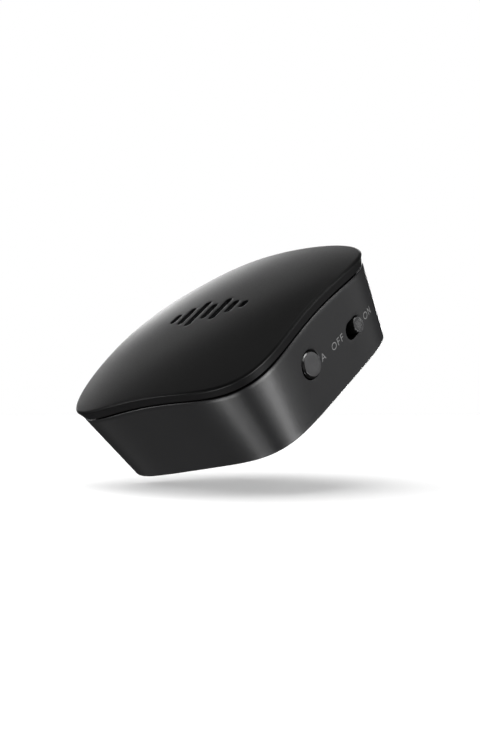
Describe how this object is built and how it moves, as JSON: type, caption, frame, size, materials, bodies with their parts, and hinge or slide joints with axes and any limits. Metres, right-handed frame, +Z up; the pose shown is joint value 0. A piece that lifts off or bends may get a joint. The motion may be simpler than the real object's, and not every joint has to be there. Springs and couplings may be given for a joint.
{
  "type": "wireless audio receiver",
  "caption": "Small square puck with a domed, arched lid over tapered walls, a push button on each flank, a slide switch, a headphone jack and a charging port, complete inside.",
  "frame": {"origin": "centre of the flat face it rests on, below the middle of the lid", "axes": "+Z up out of the lid; +Y out of the headphone jack's mouth, so -Y is the plain front; +X is the flank with the slide switch and button A"},
  "size_m": [0.056, 0.056, 0.0225],
  "materials": {
    "case_plastic": "dark grey satin moulded plastic with a fine even grain",
    "cover_plastic": "black soft-sheen moulded plastic, sunk mark glossier",
    "pad_rubber": "matt black rubber with a fine texture",
    "screw_steel": "zinc-plated steel",
    "board": "green solder mask over glass laminate",
    "tinned_steel": "tin-plated pressed sheet",
    "chip_black": "matt black moulded package",
    "copper": "copper trace with a thin clear coat",
    "ferrite": "dark grey sintered ferrite",
    "ceramic_tan": "tan ceramic with tinned ends",
    "battery_foil": "silver laminated pouch foil, slightly wrinkled",
    "tape": "white foam adhesive tape",
    "lead_red": "red insulation",
    "lead_black": "black insulation",
    "connector_ivory": "ivory nylon",
    "socket_black": "black moulded nylon",
    "contact_gold": "gold-plated spring bronze",
    "clear_lens": "frosted clear light guide",
    "button_plastic": "mid-grey satin plastic, a little lighter than the case",
    "knob_plastic": "mid-grey satin plastic with fine grip grooves"
  },
  "bodies": {
    "receiver": {"lower_case": "case_plastic", "top_cover": "cover_plastic", "base_pad": "pad_rubber", "case_screws": "screw_steel", "circuit_board": "board", "shield_can": "tinned_steel", "radio_chip": "chip_black", "crystal": "tinned_steel", "antenna_trace": "copper", "audio_codec": "chip_black", "charger_chip": "chip_black", "power_inductor": "ferrite", "capacitors": "ceramic_tan", "resistors": "chip_black", "battery_cell": "battery_foil", "battery_guard_board": "board", "battery_tape": "tape", "lead_positive": "lead_red", "lead_negative": "lead_black", "battery_plug": "connector_ivory", "battery_header": "connector_ivory", "jack_housing": "socket_black", "jack_tip_contact": "contact_gold", "jack_ring_contact": "contact_gold", "jack_sleeve_contact": "contact_gold", "usb_shell": "tinned_steel", "usb_tongue": "socket_black", "usb_contacts": "contact_gold", "status_led": "connector_ivory", "light_pipe": "clear_lens", "tact_a_dome": "tinned_steel", "tact_a_body": "socket_black", "tact_a_plate": "tinned_steel", "tact_a_pins": "tinned_steel", "tact_b_dome": "tinned_steel", "tact_b_body": "socket_black", "tact_b_plate": "tinned_steel", "tact_b_pins": "tinned_steel", "slide_base": "socket_black", "slide_frame": "tinned_steel", "slide_terminals": "tinned_steel"},
    "push_button_a": {"button_a": "button_plastic", "tact_a_stem": "socket_black"},
    "push_button_b": {"button_b": "button_plastic", "tact_b_stem": "socket_black"},
    "power_slider": {"switch_knob": "knob_plastic", "slide_actuator": "connector_ivory", "slide_wiper": "contact_gold"}
  },
  "joints": [
    {"name": "press_a", "type": "slide", "parent": "receiver", "child": "push_button_a", "axis": [-1, 0, 0], "range_m": [0, 0.0005], "stiffness_N_per_m": 3200, "deforming": ["tact_a_dome"]},
    {"name": "press_b", "type": "slide", "parent": "receiver", "child": "push_button_b", "axis": [1, 0, 0], "range_m": [0, 0.0005], "stiffness_N_per_m": 3200, "deforming": ["tact_b_dome"]},
    {"name": "power_slide", "type": "slide", "parent": "receiver", "child": "power_slider", "axis": [0, 1, 0], "range_m": [-0.002, 0]}
  ]
}
